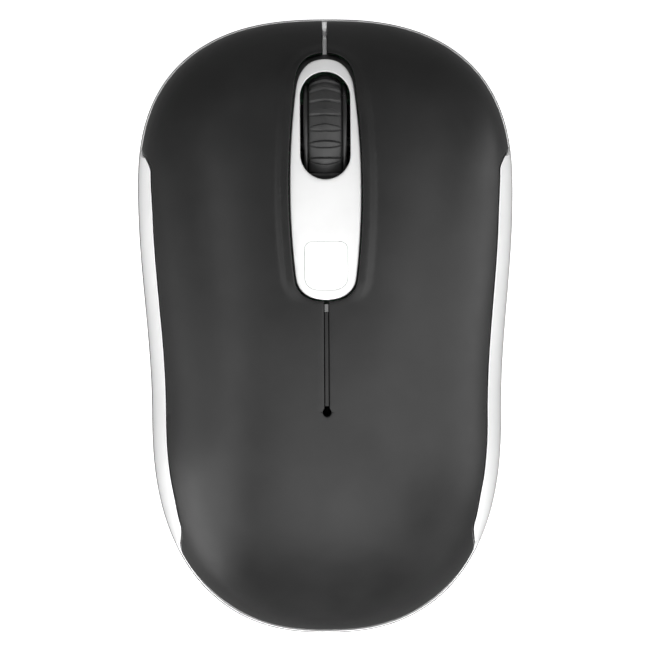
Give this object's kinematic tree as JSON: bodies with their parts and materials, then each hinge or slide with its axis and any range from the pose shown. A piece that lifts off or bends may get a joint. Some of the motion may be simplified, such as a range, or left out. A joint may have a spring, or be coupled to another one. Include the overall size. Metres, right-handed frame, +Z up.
{
  "type": "computer mouse",
  "caption": "Compact wireless optical mouse: matt black cover with two flexing buttons, glossy white centre trim and side rails, ribbed scroll wheel and battery door.",
  "frame": {"origin": "centre of the footprint, on the desk plane under the glides", "axes": "+Y to the nose, +X to the right hand, +Z up"},
  "size_m": [0.06, 0.0982, 0.0365],
  "materials": {
    "matt_black": "fine matt texture",
    "gloss_white": "polished",
    "case_black": "satin",
    "glide": "smooth low-friction plastic",
    "rubber": "matt moulded rubber",
    "inner_plastic": "as moulded",
    "chip": "moulded epoxy",
    "plunger": "as moulded",
    "circuit_board": "solder mask",
    "clear": "polished clear plastic",
    "led": "clear red resin",
    "steel": "nickel plated",
    "battery_wrap": "printed foil sleeve without text"
  },
  "bodies": {
    "root": {"top_cover": "matt_black", "center_trim": "gloss_white", "mid_frame": "gloss_white", "bottom_case": "case_black", "front_glide": "glide", "rear_glide_left": "glide", "rear_glide_right": "glide", "battery": "battery_wrap", "battery_tray": "inner_plastic", "board_ribbon": "glide", "capacitor": "inner_plastic", "case_screw_left": "steel", "case_screw_right": "steel", "crystal": "steel", "flat_contact": "steel", "key_board": "circuit_board", "key_switch": "steel", "led_clip": "inner_plastic", "left_switch": "chip", "main_board": "circuit_board", "middle_switch": "chip", "power_switch": "steel", "radio_chip": "chip", "receiver_cap": "inner_plastic", "receiver_plug": "steel", "right_switch": "chip", "scroll_encoder": "chip", "sensor_chip": "chip", "sensor_led": "led", "sensor_lens": "clear", "spring_contact": "steel"},
    "left_button": {"left_button": "matt_black"},
    "right_button": {"right_button": "matt_black"},
    "dpi_key": {"dpi_key": "gloss_white"},
    "wheel_carriage": {"wheel_holder": "inner_plastic"},
    "wheel": {"wheel_tyre": "rubber", "wheel_hub": "inner_plastic", "encoder_rotor": "glide"},
    "left_plunger": {"left_switch_plunger": "plunger"},
    "right_plunger": {"right_switch_plunger": "plunger"},
    "middle_plunger": {"middle_switch_plunger": "plunger"},
    "key_plunger": {"key_switch_plunger": "inner_plastic"},
    "power_knob": {"power_switch_knob": "glide"},
    "door": {"battery_door": "case_black"}
  },
  "joints": [
    {"name": "left_button_press", "type": "hinge", "parent": "root", "child": "left_button", "pos_m": [0, -0.0137, 0.029], "axis": [-1, 0, 0], "range_deg": [0, 0.64], "stiffness_Nm_per_rad": 2.5, "springref_deg": -0.69},
    {"name": "right_button_press", "type": "hinge", "parent": "root", "child": "right_button", "pos_m": [0, -0.0137, 0.029], "axis": [-1, 0, 0], "range_deg": [0, 0.64], "stiffness_Nm_per_rad": 2.5, "springref_deg": -0.69},
    {"name": "dpi_key_press", "type": "slide", "parent": "root", "child": "dpi_key", "axis": [0, 0, -1], "range_m": [0, 0.00035], "stiffness_N_per_m": 1500, "springref_m": -0.0004},
    {"name": "wheel_press", "type": "slide", "parent": "root", "child": "wheel_carriage", "axis": [0, 0, -1], "range_m": [0, 0.0006], "stiffness_N_per_m": 1500, "springref_m": -0.0005},
    {"name": "wheel_spin", "type": "hinge", "parent": "wheel_carriage", "child": "wheel", "pos_m": [0, 0.0289, 0.018], "axis": [1, 0, 0], "continuous": true},
    {"name": "left_switch_click", "type": "slide", "parent": "root", "child": "left_plunger", "axis": [0, 0, -1], "range_m": [0, 0.0004]},
    {"name": "right_switch_click", "type": "slide", "parent": "root", "child": "right_plunger", "axis": [0, 0, -1], "range_m": [0, 0.0004]},
    {"name": "middle_switch_click", "type": "slide", "parent": "root", "child": "middle_plunger", "axis": [0, 0, -1], "range_m": [0, 0.0005]},
    {"name": "key_switch_click", "type": "slide", "parent": "root", "child": "key_plunger", "axis": [0, 0, -1], "range_m": [0, 0.00025]},
    {"name": "power_knob_slide", "type": "slide", "parent": "root", "child": "power_knob", "axis": [1, 0, 0], "range_m": [0, 0.002]},
    {"name": "battery_door_swing", "type": "hinge", "parent": "root", "child": "door", "pos_m": [0, 0.0058, 0.0014], "axis": [1, 0, 0], "range_deg": [0, 75]}
  ],
  "couplings": [
    {"joint": "left_switch_click", "follows": "left_button_press", "m_per_rad": 0.035},
    {"joint": "right_switch_click", "follows": "right_button_press", "m_per_rad": 0.035},
    {"joint": "middle_switch_click", "follows": "wheel_press", "ratio": 0.8},
    {"joint": "key_switch_click", "follows": "dpi_key_press", "ratio": 0.7}
  ]
}
